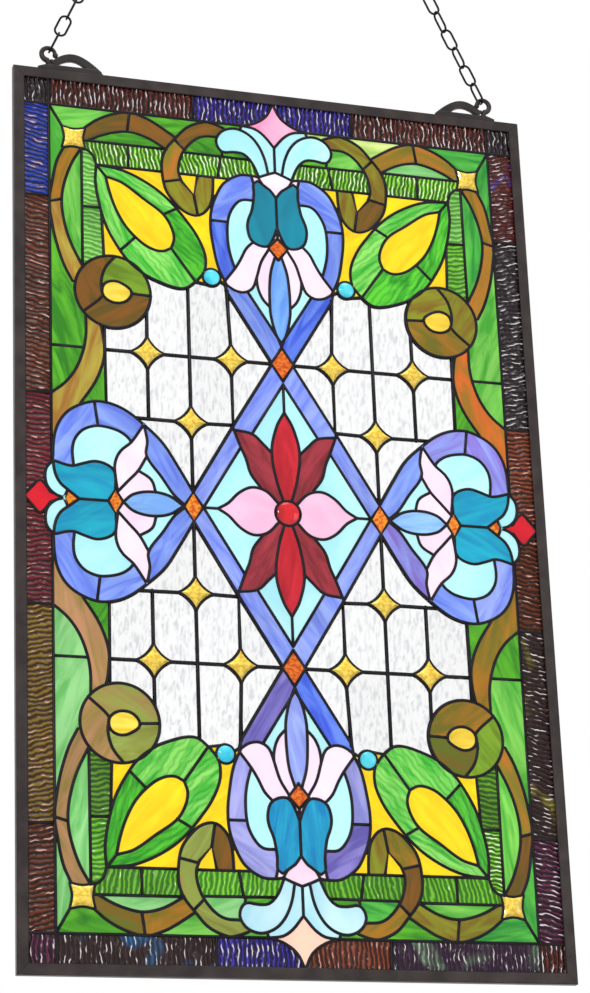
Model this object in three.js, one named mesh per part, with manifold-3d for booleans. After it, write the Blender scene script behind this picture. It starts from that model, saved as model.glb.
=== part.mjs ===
// Hanging stained glass window: a leaded panel in a U-channel frame, held by two short chains.
// Millimetres, +Z up. The panel stands in the XZ plane and its front faces -Y.
// The origin is the hanging point, midway between the tops of the two chain hooks.
import * as THREE from "three";
import { mergeVertices } from "three/addons/utils/BufferGeometryUtils.js";
import Module from "manifold-3d";

// Driving dimensions.
const PANEL_WIDTH = 510; // outside of the frame
const PANEL_HEIGHT = 854; // outside of the frame
const RAIL_FACE = 10.5; // width of a frame rail seen from the front
const RAIL_DEPTH = 8; // front to back
const GROOVE_DEPTH = 5; // how far the glass goes into a rail
const GLASS_THICKNESS = 3;
const JEWEL_THICKNESS = 4.6; // cast jewels are thicker than the sheet glass
const CAME_THICKNESS = 5; // lead beads stand proud of the glass on both faces
const CAME_WIDTH = 4;
const GAP = 0.3; // clearance between touching pieces
const HAIR = 0.12; // the joined solids' tolerance
const CHORD_ERROR = 2; // how far a faceted came may leave its true curve

// Hangers on the top rail.
const HANGER_INNER = 168; // distance of the foot's inner end from the middle
const HANGER_OUTER = 231;
const HANGER_DEPTH = 6;
const FOOT_HEIGHT = 5;
const ARCH_TOP = 18.5; // above the rail
const ARCH_BAND = 5.6;
const ARCH_MIDDLE = 197;
const CURL_MIDDLE = 219;
const CURL_HEIGHT = 16.5; // centre of the curl above the rail
const CURL_RADIUS = 6.6;
const CURL_WIRE = 1.9;

// Chains.
const LINK_LENGTH = 24.5;
const LINK_WIDTH = 13;
const LINK_WIRE = 1.1; // radius
const LINK_PITCH = 20.8;
const LINK_COUNT = 7;
const CHAIN_LEAN = THREE.MathUtils.degToRad(24.5); // each chain leans in towards the middle
const HOOK_RADIUS = 6;
const HOOK_WIRE = 1.4;

// Derived sizes.
const HALF_WIDTH = PANEL_WIDTH / 2;
const HALF_HEIGHT = PANEL_HEIGHT / 2;
const GLASS_HALF_WIDTH = HALF_WIDTH - RAIL_FACE + GROOVE_DEPTH - GAP;
const GLASS_HALF_HEIGHT = HALF_HEIGHT - RAIL_FACE + GROOVE_DEPTH - GAP;
const CHAIN_FOOT = new THREE.Vector3(CURL_MIDDLE - 1, 0, HALF_HEIGHT + CURL_HEIGHT + CURL_RADIUS);
const CHAIN_DIRECTION = new THREE.Vector3(-Math.sin(CHAIN_LEAN), 0, Math.cos(CHAIN_LEAN));
const HALF_LINK = LINK_LENGTH / 2 - LINK_WIRE; // from a link's middle to the wire at its end
const FIRST_LINK = HALF_LINK - (CURL_WIRE + LINK_WIRE + GAP) - 0.2;
const LAST_LINK_TOP = FIRST_LINK + (LINK_COUNT - 1) * LINK_PITCH + HALF_LINK;
const HOOK_BITE = HOOK_WIRE + LINK_WIRE - 0.2; // hook and last link are fused where they touch
const HOOK_MIDDLE = CHAIN_FOOT.clone().addScaledVector(CHAIN_DIRECTION, LAST_LINK_TOP - HOOK_BITE + HOOK_RADIUS);
const HOOK_TOP = HOOK_MIDDLE.z + 2 * HOOK_RADIUS * CHAIN_DIRECTION.z + HOOK_RADIUS + HOOK_WIRE;
const PANEL_MIDDLE_Z = -HOOK_TOP;

const wasm = await Module();
wasm.setup();

// ---- solids -------------------------------------------------------------------------------

function toSolid(geometry) {
  geometry.deleteAttribute("normal");
  geometry.deleteAttribute("uv");
  const merged = mergeVertices(geometry, 1e-4);
  return new wasm.Manifold(
    new wasm.Mesh({
      numProp: 3,
      vertProperties: new Float32Array(merged.attributes.position.array),
      triVerts: new Uint32Array(merged.index.array),
    })
  );
}

// The solid's mesh, once points that lie closer than a hair to a straight edge are let go.
function toGeometry(solid) {
  const mesh = solid.setTolerance(HAIR).getMesh();
  const geometry = new THREE.BufferGeometry();
  geometry.setAttribute("position", new THREE.BufferAttribute(new Float32Array(mesh.vertProperties), 3));
  geometry.setIndex(new THREE.BufferAttribute(new Uint32Array(mesh.triVerts), 1));
  geometry.computeVertexNormals();
  return geometry;
}

// Stands an outline drawn in the XY plane up in the XZ plane, with no rounding of its points.
const standUp = new THREE.Matrix4().makeBasis(
  new THREE.Vector3(1, 0, 0),
  new THREE.Vector3(0, 0, 1),
  new THREE.Vector3(0, -1, 0)
);

// A prism whose outline lies in the XZ plane, centred on y = 0.
function prism(outline, thickness, hole = null) {
  const shape = new THREE.Shape(outline);
  if (hole) shape.holes.push(new THREE.Path(hole));
  const geometry = new THREE.ExtrudeGeometry(shape, { depth: thickness, bevelEnabled: false });
  geometry.applyMatrix4(standUp);
  geometry.translate(0, thickness / 2, 0);
  return toSolid(geometry);
}

function rectangle(x0, z0, x1, z1) {
  return [new THREE.Vector2(x0, z0), new THREE.Vector2(x1, z0), new THREE.Vector2(x1, z1), new THREE.Vector2(x0, z1)];
}

function circle(x, z, radius, sides) {
  const points = [];
  for (let i = 0; i < sides; i++) {
    const turn = (2 * Math.PI * (i + 0.5)) / sides;
    points.push(new THREE.Vector2(x + radius * Math.cos(turn), z + radius * Math.sin(turn)));
  }
  return points;
}

// ---- the leaded design --------------------------------------------------------------------
// One quarter of it is drawn, right of the middle and above it, and mirrored both ways.
// Every came is a row of points from the panel's middle: x to the right, z up.

function straight(...points) {
  return points.map(([x, z]) => new THREE.Vector2(x, z));
}

// Drops the points of a smooth curve that a faceted came doesn't need.
function thin(points) {
  if (points.length < 3) return points;
  const first = points[0];
  const last = points[points.length - 1];
  const along = last.clone().sub(first);
  const length = along.length();
  let worst = 0;
  let at = 0;
  for (let i = 1; i < points.length - 1; i++) {
    const away = points[i].clone().sub(first);
    const distance = length < 1e-6 ? away.length() : Math.abs(along.cross(away)) / length;
    if (distance > worst) {
      worst = distance;
      at = i;
    }
  }
  if (worst < CHORD_ERROR) return [first, last];
  return [...thin(points.slice(0, at + 1)).slice(0, -1), ...thin(points.slice(at))];
}

function curved(...points) {
  const path = new THREE.CatmullRomCurve3(points.map(([x, z]) => new THREE.Vector3(x, z, 0)), false, "centripetal");
  const samples = path.getPoints(points.length * 8).map((p) => new THREE.Vector2(p.x, p.y));
  return thin(samples);
}

// The strip that a came covers.
function ribbon(points, width) {
  const left = [];
  const right = [];
  const half = width / 2;
  const last = points.length - 1;
  points.forEach((point, i) => {
    const before = points[Math.max(i - 1, 0)];
    const after = points[Math.min(i + 1, last)];
    const arriving = point.clone().sub(before).normalize();
    const leaving = after.clone().sub(point).normalize();
    if (i === 0) arriving.copy(leaving);
    if (i === last) leaving.copy(arriving);
    const normal = arriving.clone().add(leaving).normalize();
    const reach = half / Math.max(normal.dot(leaving), 0.5);
    normal.set(-normal.y, normal.x);
    left.push(point.clone().addScaledVector(normal, reach));
    right.push(point.clone().addScaledVector(normal, -reach));
  });
  return [...right, ...left.reverse()];
}

const BORDER_X = 221; // came between the border and the field
const BORDER_Z = 391;
const LEAF_TIP = [176, 333];
const ROSETTE = { x: 161.5, z: 205, radius: 36 };
const TURQUOISE = { x: 66.5, z: 229, radius: 9.5 };
const RED_JEWEL = { x: 0, z: 0, radius: 12.5 };
const CORNER_JEWEL = { x0: 187, z0: 349, x1: 207, z1: 370 };
const CROSSING_Z = 147; // where the ribbons cross above the middle
const CROSSING_X = 91; // and beside it

function borderCames() {
  return [
    straight([-2, 427], [8, 403], [32, BORDER_Z], [BORDER_X, BORDER_Z], [BORDER_X, 35], [227, 25], [219, -6]),
    straight([35, BORDER_Z - 1], [12, 385], [-4, 367]),
    straight([217, -5], [232, 15], [255, 0]),
  ];
}

function cornerJewelCames() {
  return [straight([BORDER_X, BORDER_Z], [CORNER_JEWEL.x1, CORNER_JEWEL.z1])];
}

function leafCames() {
  return [
    curved(LEAF_TIP, [151, 330], [126, 319], [106, 304], [86, 280], [77, 265], [72, 250], [73, 235], [80, 225]),
    curved([80, 225], [91, 216], [101, 215], [116, 219], [131, 227], [146, 240], [159, 255], [169, 277], [176, 310], LEAF_TIP),
    curved([167, 322], [151, 317], [131, 303], [113, 290], [105, 278], [102, 265], [105, 255]),
    curved([105, 255], [113, 251], [123, 252], [134, 258], [148, 272], [158, 290], [164, 308], [167, 322]),
    straight(LEAF_TIP, [167, 322]),
  ];
}

function lyreCames() {
  return [
    curved([-6, 348], [15, 339], [36, 337], [51, 328], [63, 305], [65, 290], [63, 262], [52, 219], [11.5, CROSSING_Z]),
    curved([22, 313], [35, 312], [43.5, 303], [49, 285], [48, 255], [32, 218], [-4, 162]),
    straight([22, 338], [22, 313]),
    curved([22, 313], [24.5, 303], [28.5, 292], [29.5, 283], [26.5, 272], [19.5, 267], [10, 267], [-4, 279]),
  ];
}

function centreCames() {
  return [
    straight([10, CROSSING_Z + 2.5], [CROSSING_X, 15]),
    straight([-4, 133], [84, -6]),
    curved([CROSSING_X, 15], [106, 40], [119, 60], [136, 76], [151, 88], [166, 94.5], [180, 95], [195, 90], [207, 82], [215, 70], [220, 54]),
    curved([97, -6], [108.5, 9], [119, 26], [134, 46], [150, 61], [168, 71], [183, 70], [195, 62], [202, 50], [202, 31.5]),
    curved([162, 12], [163, 28], [168, 34], [180, 37], [192, 34.5], [202, 31], [BORDER_X - 1, 34]),
    straight([162, 13], [151, -5]),
    curved([BORDER_X - 1, 34], [218, 22], [212, 11], [203, 4], [191, -5]),
  ];
}

function fleurCames() {
  return [
    curved([16, 338], [21, 351], [29, 361], [40, 362], [49, 360], [54, 363], [56.5, 370], [51, 381], [39, 387.5], [32, 391]),
  ];
}

function clearFieldCames() {
  return [
    straight([170, 171], [170, 95]),
    straight([51, 221], [60, 227]),
    straight([73, 227], [81, 223]),
  ];
}

function roundCames() {
  return [ROSETTE, TURQUOISE, RED_JEWEL];
}

// The one came that ties the middle of the net to the rest, from the jewel up to the ribbons.
const centreCame = straight([0, RED_JEWEL.radius], [0, 167]);

// All the cames at once, as one solid of the given width and thickness.
function cameNet(width, thickness) {
  const quarter = [
    ...borderCames(),
    ...cornerJewelCames(),
    ...leafCames(),
    ...lyreCames(),
    ...centreCames(),
    ...fleurCames(),
    ...clearFieldCames(),
  ];
  const strips = quarter.map((came) => prism(ribbon(came, width), thickness));
  for (const { x, z, radius } of roundCames()) {
    const sides = radius > 20 ? 16 : 8;
    strips.push(prism(circle(x, z, radius + width / 2, sides), thickness, circle(x, z, radius - width / 2, sides)));
  }
  const { x0, z0, x1, z1 } = CORNER_JEWEL;
  const half = width / 2;
  const frame = rectangle(x0 - half, z0 - half, x1 + half, z1 + half);
  strips.push(prism(frame, thickness, rectangle(x0 + half, z0 + half, x1 - half, z1 - half)));
  const corner = prism(rectangle(0, 0, HALF_WIDTH, HALF_HEIGHT), 2 * thickness);
  const one = wasm.Manifold.union(strips).intersect(corner);
  const upper = one.add(one.scale([-1, 1, 1]));
  return upper.add(upper.scale([1, 1, -1])).add(prism(ribbon(centreCame, width), thickness));
}

// ---- glass --------------------------------------------------------------------------------

const TOP = 1;
const BOTTOM = -1;
const LEFT = -1;
const RIGHT = 1;

// One colour of glass: its material and where its panes lie, each named by a point inside it.
function glass(name, color, seed, copies, thickness = GLASS_THICKNESS) {
  return { name, color, seed, copies, thickness };
}

const fourCorners = [
  ["top_left", LEFT, TOP],
  ["top_right", RIGHT, TOP],
  ["bottom_left", LEFT, BOTTOM],
  ["bottom_right", RIGHT, BOTTOM],
];
const topAndBottom = [
  ["top", RIGHT, TOP],
  ["bottom", RIGHT, BOTTOM],
];
const bothSides = [
  ["left", LEFT, TOP],
  ["right", RIGHT, TOP],
];
const single = [["", RIGHT, TOP]];

const panes = [
  glass("border_glass", 0x3a2430, [150, 405], fourCorners),
  glass("field_glass", 0x4f9a3a, [150, 345], fourCorners),
  glass("leaf_glass", 0x46c350, [85, 262], fourCorners),
  glass("leaf_heart", 0xffdd18, [130, 280], fourCorners),
  glass("rosette_glass", 0x99961a, [ROSETTE.x, ROSETTE.z], fourCorners),
  glass("clear_glass", 0xf2f5f4, [110, 180], fourCorners),
  glass("corner_jewel", 0xf6d35a, [197, 360], fourCorners, JEWEL_THICKNESS),
  glass("turquoise_jewel", 0x28cdea, [TURQUOISE.x, TURQUOISE.z], fourCorners, JEWEL_THICKNESS),
  glass("star_tip", 0xf7a0c4, [0, 400], topAndBottom),
  glass("fleur_glass", 0xb4f5f7, [35, 375], topAndBottom),
  glass("teal_heart", 0x0c84a6, [12, 300], topAndBottom),
  glass("petal_glass", 0xf8e4f4, [35, 235], topAndBottom),
  glass("side_petal_glass", 0xbff4f4, [170, 55], bothSides),
  glass("side_teal", 0x00a4d8, [185, 20], bothSides),
  glass("side_sliver", 0xc4f4f2, [216, 0], bothSides),
  glass("side_tip", 0xcf1230, [235, 0], bothSides),
  glass("ribbon_glass", 0x6f86e8, [46, 72], single),
  glass("centre_glass", 0xb82240, [40, 20], single),
  glass("red_jewel", 0xd00a22, [RED_JEWEL.x, RED_JEWEL.z], single, JEWEL_THICKNESS),
];

const panelOutline = rectangle(-GLASS_HALF_WIDTH, -GLASS_HALF_HEIGHT, GLASS_HALF_WIDTH, GLASS_HALF_HEIGHT);
const seats = cameNet(CAME_WIDTH + 2 * GAP, 2 * CAME_THICKNESS);

function cutPanes(thickness) {
  return prism(panelOutline, thickness).subtract(seats).decompose();
}

// The pane that holds a point: a thin probe there meets only that one.
function paneAt(cut, x, z) {
  const probe = prism(circle(x, z, GAP, 4), GLASS_THICKNESS / 2);
  return cut.find((pane) => pane.intersect(probe).volume() > 0);
}

// ---- metalwork ----------------------------------------------------------------------------

// A rail runs along one side of the frame, mitred at both ends and grooved for the glass.
function rail(length, span) {
  const end = length / 2 - GAP / 2;
  const outline = [
    new THREE.Vector2(-end, 0),
    new THREE.Vector2(-end + RAIL_FACE, -RAIL_FACE),
    new THREE.Vector2(end - RAIL_FACE, -RAIL_FACE),
    new THREE.Vector2(end, 0),
  ];
  const reach = span / 2 - RAIL_FACE + GROOVE_DEPTH;
  const groove = rectangle(-reach, -2 * RAIL_FACE, reach, GROOVE_DEPTH - RAIL_FACE);
  return prism(outline, RAIL_DEPTH).subtract(prism(groove, CAME_THICKNESS + 2 * GAP));
}

// A round wire along a path, with flat ends.
function wire(path, radius, sides, steps) {
  const section = new THREE.Shape(circle(0, 0, radius, sides));
  return toSolid(new THREE.ExtrudeGeometry(section, { steps, bevelEnabled: false, extrudePath: path }));
}

function arcPath(x, z, radius, from, to) {
  const points = [];
  const steps = Math.ceil(Math.abs(to - from) / 30);
  for (let i = 0; i <= steps; i++) {
    const turn = THREE.MathUtils.degToRad(from + ((to - from) * i) / steps);
    points.push(new THREE.Vector3(x + radius * Math.cos(turn), 0, z + radius * Math.sin(turn)));
  }
  return points;
}

function ball(x, z, radius) {
  const geometry = new THREE.IcosahedronGeometry(radius, 0);
  geometry.translate(x, 0, z);
  return toSolid(geometry);
}

// The right hanger, standing on the top rail: a foot, an arched strap over it and a curl at the
// outer end that takes the chain.
function hanger() {
  const rail = HALF_HEIGHT + GAP;
  const arch = new THREE.CatmullRomCurve3(
    [
      new THREE.Vector3(HANGER_INNER + 2, rail + 2, 0),
      new THREE.Vector3(ARCH_MIDDLE - 14, rail + ARCH_TOP - 6, 0),
      new THREE.Vector3(ARCH_MIDDLE, rail + ARCH_TOP - ARCH_BAND / 2, 0),
      new THREE.Vector3(ARCH_MIDDLE + 14, rail + ARCH_TOP - 7, 0),
      new THREE.Vector3(HANGER_OUTER - 10, rail + FOOT_HEIGHT - 2, 0),
    ],
    false,
    "centripetal"
  );
  const strap = prism(ribbon(arch.getPoints(9).map((p) => new THREE.Vector2(p.x, p.y)), ARCH_BAND), HANGER_DEPTH);
  const foot = prism(
    straight(
      [HANGER_INNER, rail],
      [HANGER_OUTER, rail],
      [HANGER_OUTER, rail + FOOT_HEIGHT / 2],
      [HANGER_OUTER - 8, rail + FOOT_HEIGHT],
      [HANGER_INNER + 8, rail + FOOT_HEIGHT]
    ),
    HANGER_DEPTH
  );
  const curlZ = HALF_HEIGHT + CURL_HEIGHT;
  const points = arcPath(CURL_MIDDLE, curlZ, CURL_RADIUS, -75, 195);
  points.unshift(new THREE.Vector3(CURL_MIDDLE - 3, 0, rail + FOOT_HEIGHT - CURL_WIRE));
  const curl = wire(new THREE.CatmullRomCurve3(points), CURL_WIRE, 6, 14);
  const tip = points[points.length - 1];
  const aboveRail = prism(rectangle(HANGER_INNER, rail, HANGER_OUTER, rail + 2 * CURL_HEIGHT), RAIL_DEPTH);
  return strap.add(foot).add(curl).add(ball(tip.x, tip.z, CURL_WIRE * 1.4)).intersect(aboveRail);
}

// One link, standing along Z: a ring pulled out into an oval with straight sides.
function link() {
  const radius = (LINK_WIDTH / 2 - LINK_WIRE) / Math.cos(Math.PI / 8); // its flats are at the true size
  const pull = (LINK_LENGTH - LINK_WIDTH) / 2;
  const geometry = new THREE.TorusGeometry(radius, LINK_WIRE, 5, 8);
  geometry.rotateZ(Math.PI / 8);
  const position = geometry.attributes.position;
  for (let i = 0; i < position.count; i++) position.setY(i, position.getY(i) + Math.sign(position.getY(i)) * pull);
  geometry.rotateX(Math.PI / 2);
  return toSolid(geometry);
}

// An S-hook in the panel's plane, its lower loop through the last link and its upper one free.
function chainHook() {
  const lower = arcPath(0, 0, HOOK_RADIUS, 170, 450);
  const upper = arcPath(0, 2 * HOOK_RADIUS, HOOK_RADIUS, 270, -10);
  return wire(new THREE.CatmullRomCurve3([...lower, ...upper.slice(1)]), HOOK_WIRE, 5, 20);
}

// The right chain: links turned a quarter each, leaning in from the curl to the hook.
function chain() {
  const along = CHAIN_DIRECTION;
  const lean = THREE.MathUtils.radToDeg(-CHAIN_LEAN);
  const parts = [];
  for (let i = 0; i < LINK_COUNT; i++) {
    const middle = CHAIN_FOOT.clone().addScaledVector(along, FIRST_LINK + i * LINK_PITCH);
    const quarterTurn = i % 2 === 0 ? 90 : 0;
    parts.push(link().rotate([0, 0, quarterTurn]).rotate([0, lean, 0]).translate(middle.toArray()));
  }
  const hook = chainHook().rotate([0, lean, 0]).translate(HOOK_MIDDLE.toArray());
  return wasm.Manifold.union([...parts, hook]);
}

// ---- the window ---------------------------------------------------------------------------

const zinc = new THREE.MeshStandardMaterial({ color: 0x4b4645, roughness: 0.5, metalness: 0.8 });
const solder = new THREE.MeshStandardMaterial({ color: 0x232325, roughness: 0.45, metalness: 0.7 });
const bronze = new THREE.MeshStandardMaterial({ color: 0x3f3836, roughness: 0.5, metalness: 0.8 });
const steel = new THREE.MeshStandardMaterial({ color: 0x141414, roughness: 0.4, metalness: 0.7 });

const window = new THREE.Group();
const panel = new THREE.Group();
panel.position.z = PANEL_MIDDLE_Z;
window.add(panel);

function place(name, solid, material, parent = panel) {
  const mesh = new THREE.Mesh(toGeometry(solid), material);
  mesh.name = name;
  parent.add(mesh);
  return mesh;
}

// Rails are made along X with their outer edge at z = 0, and turned into place.
place("rail_top", rail(PANEL_WIDTH, PANEL_WIDTH), zinc).position.z = HALF_HEIGHT;
const bottomRail = place("rail_bottom", rail(PANEL_WIDTH, PANEL_WIDTH), zinc);
bottomRail.rotation.y = Math.PI;
bottomRail.position.z = -HALF_HEIGHT;
const rightRail = place("rail_right", rail(PANEL_HEIGHT, PANEL_HEIGHT), zinc);
rightRail.rotation.y = Math.PI / 2;
rightRail.position.x = HALF_WIDTH;
const leftRail = place("rail_left", rail(PANEL_HEIGHT, PANEL_HEIGHT), zinc);
leftRail.rotation.y = -Math.PI / 2;
leftRail.position.x = -HALF_WIDTH;

place("came_net", cameNet(CAME_WIDTH, CAME_THICKNESS).intersect(prism(panelOutline, 2 * CAME_THICKNESS)), solder);

const sheets = new Map();
for (const { name, color, seed, copies, thickness } of panes) {
  if (!sheets.has(thickness)) sheets.set(thickness, cutPanes(thickness));
  const material = new THREE.MeshStandardMaterial({ color, roughness: 0.12, metalness: 0 });
  for (const [suffix, side, end] of copies) {
    const solid = paneAt(sheets.get(thickness), seed[0] * side, seed[1] * end);
    place(suffix ? `${name}_${suffix}` : name, solid, material);
  }
}

for (const [side, mirror] of [
  ["right", 1],
  ["left", -1],
]) {
  place(`hanger_${side}`, hanger().scale([mirror, 1, 1]), bronze);
  place(`chain_${side}`, chain().scale([mirror, 1, 1]), steel);
}

export default window;
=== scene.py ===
"""Leaded stained glass window: the glass, solder lines, frame, hangers and chains around the CAD frame.

The design is drawn once, as a quarter of the panel right of its middle and above it, in
millimetres from the panel's middle: x to the right, z up. It is mirrored both ways.
"""

import math
import random

import bmesh
import bpy
from mathutils import Matrix, Vector
from mathutils.bvhtree import BVHTree
from mathutils.geometry import delaunay_2d_cdt, interpolate_bezier


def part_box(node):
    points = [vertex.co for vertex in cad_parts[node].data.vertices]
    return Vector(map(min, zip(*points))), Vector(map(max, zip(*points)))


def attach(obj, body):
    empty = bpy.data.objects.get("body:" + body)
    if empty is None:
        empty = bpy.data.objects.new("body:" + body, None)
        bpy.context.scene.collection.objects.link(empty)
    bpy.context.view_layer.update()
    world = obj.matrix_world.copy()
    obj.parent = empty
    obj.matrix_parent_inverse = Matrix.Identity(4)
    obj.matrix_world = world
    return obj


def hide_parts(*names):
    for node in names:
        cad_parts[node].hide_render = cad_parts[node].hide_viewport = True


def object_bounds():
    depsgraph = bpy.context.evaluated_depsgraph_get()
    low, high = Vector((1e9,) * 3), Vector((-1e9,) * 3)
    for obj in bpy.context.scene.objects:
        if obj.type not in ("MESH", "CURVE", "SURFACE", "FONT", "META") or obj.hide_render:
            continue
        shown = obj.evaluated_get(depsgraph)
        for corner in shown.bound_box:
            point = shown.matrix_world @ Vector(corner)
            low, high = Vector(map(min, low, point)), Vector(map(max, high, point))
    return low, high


bl_info = {
    "name": "Leaded Stained Glass Window",
    "version": (1, 0, 0),
    "blender": (4, 5, 0),
    "location": "View3D > Sidebar > Stained Glass",
    "description": "Builds the panes, solder lines, frame and hanging hardware of a leaded window",
    "category": "Object",
}

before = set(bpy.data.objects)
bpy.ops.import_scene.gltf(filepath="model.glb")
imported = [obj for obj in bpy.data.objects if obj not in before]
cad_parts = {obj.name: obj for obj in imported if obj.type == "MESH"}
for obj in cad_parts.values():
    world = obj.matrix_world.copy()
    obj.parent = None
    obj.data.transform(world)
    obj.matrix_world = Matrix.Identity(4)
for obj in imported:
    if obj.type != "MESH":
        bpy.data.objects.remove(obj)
CAD_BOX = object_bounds()
MM = 0.001

# Where the panel is and how big, from the CAD rails. Sizes are in millimetres, PANEL_Z in metres.
RAIL_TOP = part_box("rail_top")
RAIL_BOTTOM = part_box("rail_bottom")
PANEL_Z = (RAIL_TOP[1].z + RAIL_BOTTOM[0].z) / 2
MITRE_GAP = 0.15  # half of the gap between two rails at a corner
HALF_WIDTH = RAIL_TOP[1].x / MM + MITRE_GAP
HALF_HEIGHT = (RAIL_TOP[1].z - PANEL_Z) / MM
RAIL_FACE = (RAIL_TOP[1].z - RAIL_TOP[0].z) / MM
RAIL_HALF_DEPTH = RAIL_TOP[1].y / MM
GLASS_INSET = 5.8  # from the outside of the frame to the edge of the glass in its groove
GLASS_X = HALF_WIDTH - GLASS_INSET
GLASS_Z = HALF_HEIGHT - GLASS_INSET
GROOVE = 5.0  # how far the glass goes into a rail
SEAT = 5.6  # width of a rail's groove
RAIL_SOFT = 0.9  # rounding of a rail's outer edges


def srgb(red, green, blue):
    """A colour of 0 to 255 steps as the linear values that shaders use."""
    steps = [c / 255 for c in (red, green, blue)]
    return tuple(c / 12.92 if c <= 0.04045 else ((c + 0.055) / 1.055) ** 2.4 for c in steps)


# ---- settings -----------------------------------------------------------------------------


def colour_setting(name, description, *rgb):
    return bpy.props.FloatVectorProperty(
        name=name, description=description, subtype="COLOR", size=3, min=0, max=1, default=srgb(*rgb)
    )


def size_setting(name, description, millimetres):
    return bpy.props.FloatProperty(
        name=name, description=description, unit="LENGTH", min=0, default=millimetres * MM
    )


class WindowSizes(bpy.types.PropertyGroup):
    """Sizes of the leaded panel."""

    bead_width: size_setting("Bead width", "Width of a solder line seen from the front", 3.8)
    bead_depth: size_setting("Bead depth", "Solder line from its front to its back", 5.0)
    joint_width: size_setting("Joint width", "Width of the solder blob where lines meet", 4.6)
    glass_thickness: size_setting("Glass thickness", "Thickness of the sheet glass", 3.0)
    crown_rise: size_setting("Crown rise", "How far a cast jewel stands in front of the sheet glass", 1.6)
    jewel_height: size_setting("Jewel height", "A domed jewel from its front to its back", 9.0)
    wire: size_setting("Chain wire", "Diameter of the chains' wire", 2.2)


class WindowFinishes(bpy.types.PropertyGroup):
    """Colours of the metal parts."""

    solder: colour_setting("Solder", "Black patina on the solder", 26, 24, 28)
    frame: colour_setting("Frame", "Dark bronze patina on the frame", 52, 45, 44)
    hanger: colour_setting("Hangers", "Dark bronze of the hangers", 44, 39, 38)
    chain: colour_setting("Chains", "Black steel of the chains", 18, 18, 20)


# Every glass by its kind: its main colour, then the colour of its streaks, in steps of 0 to 255. For
# ripple glass without clouds the second colour is painted shade in the ripples' valleys; clouded ripple
# glass has it in patches.
PALETTE = {
    "ripple": {
        "border_violet": (52, 38, 150, 16, 10, 44),
        "border_maroon": (92, 34, 20, 26, 8, 10),
        "border_smoke": (48, 34, 40, 14, 8, 14),
        "border_plum": (92, 34, 62, 26, 8, 22),
    },
    "warm_ripple": {
        "border_wine": (112, 20, 32, 44, 6, 14),
        "border_brown": (98, 42, 14, 34, 12, 6),
        "border_copper": (128, 60, 34, 44, 14, 10),
        "border_blue": (14, 50, 160, 8, 10, 62),
        "border_olive": (124, 98, 24, 54, 32, 14),
    },
    "cloudy_ripple": {
        "border_sunset": (40, 84, 210, 84, 20, 14),
        "border_hedge": (128, 120, 40, 52, 32, 30),
        "border_lagoon": (24, 92, 138, 50, 26, 26),
        "border_iris": (94, 116, 94, 52, 22, 52),
    },
    "glint": {
        "strip_green": (132, 200, 50, 34, 92, 14),
    },
    "rolled": {
        "strip_grass": (112, 184, 44, 44, 112, 16),
        "strip_dark": (96, 146, 30, 34, 84, 16),
        "strip_pale": (134, 200, 96, 72, 146, 44),
    },
    "streaky": {
        "grass": (92, 184, 30, 40, 124, 10),
        "spring": (128, 208, 84, 62, 164, 40),
        "mint": (148, 212, 136, 100, 182, 92),
        "green": (86, 190, 66, 30, 136, 44),
        "yellow_green": (214, 230, 140, 130, 192, 66),
        "yellow": (255, 222, 0, 255, 202, 0),
        "heart_yellow": (255, 230, 20, 255, 208, 0),
        "pale_yellow": (255, 226, 84, 236, 196, 40),
        "olive": (134, 140, 20, 122, 92, 10),
        "dark_olive": (96, 106, 12, 124, 86, 14),
        "moss": (132, 174, 34, 104, 138, 16),
        "pale_moss": (150, 168, 78, 128, 132, 48),
        "brown": (132, 82, 8, 94, 76, 4),
        "amber": (170, 112, 12, 112, 104, 10),
        "orange_brown": (194, 112, 24, 128, 122, 18),
        "burnt_orange": (214, 98, 26, 150, 106, 18),
        "rose_brown": (184, 134, 94, 144, 122, 54),
        "moss_rose": (144, 164, 66, 166, 136, 76),
        "gold_olive": (178, 164, 60, 160, 108, 36),
        "periwinkle": (138, 166, 242, 96, 122, 228),
        "cobalt": (100, 136, 238, 58, 88, 216),
        "lavender": (170, 172, 232, 136, 138, 214),
        "plum": (140, 130, 206, 98, 88, 174),
        "wisteria": (146, 160, 240, 134, 112, 208),
        "centre_blue": (152, 172, 244, 108, 128, 230),
        "sky": (122, 176, 246, 86, 142, 234),
        "pale_sky": (150, 198, 246, 118, 168, 236),
        "lilac_sky": (158, 176, 240, 128, 142, 226),
        "bright_teal": (24, 168, 206, 0, 132, 190),
        "side_teal": (10, 170, 196, 0, 140, 186),
        "ruby": (214, 30, 50, 176, 10, 30),
        "dark_ruby": (166, 48, 62, 118, 24, 36),
    },
    "catspaw": {
        "leaf_green": (138, 224, 98, 62, 184, 50),
        "leaf_grass": (88, 208, 44, 30, 148, 20),
    },
    "hammered": {
        "orange": (244, 150, 30, 206, 84, 10),
        "rust": (230, 118, 18, 190, 66, 6),
    },
    "cast": {
        "jewel_amber": (246, 218, 84, 226, 182, 44),
    },
    "polished": {
        "jewel_turquoise": (84, 220, 238, 24, 184, 216),
        "jewel_red": (214, 4, 26, 176, 0, 18),
    },
    "even": {
        "cyan": (182, 236, 240, 160, 226, 236),
        "pale_cyan": (200, 238, 246, 160, 214, 234),
        "teal": (0, 138, 162, 0, 118, 144),
        "pale_pink": (250, 226, 242, 244, 214, 236),
        "pink": (244, 196, 224, 232, 176, 208),
        "hot_pink": (250, 134, 186, 252, 184, 210),
        "peach": (250, 206, 182, 246, 190, 178),
        "tip_red": (214, 6, 34, 180, 0, 24),
    },
    "clear": {
        "clear": (255, 255, 255, 222, 224, 227),
    },
}
GLASSES = {
    name: (srgb(*steps[:3]), srgb(*steps[3:]), kind)
    for kind, glasses in PALETTE.items()
    for name, steps in glasses.items()
}


# ---- the leaded design --------------------------------------------------------------------

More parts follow.
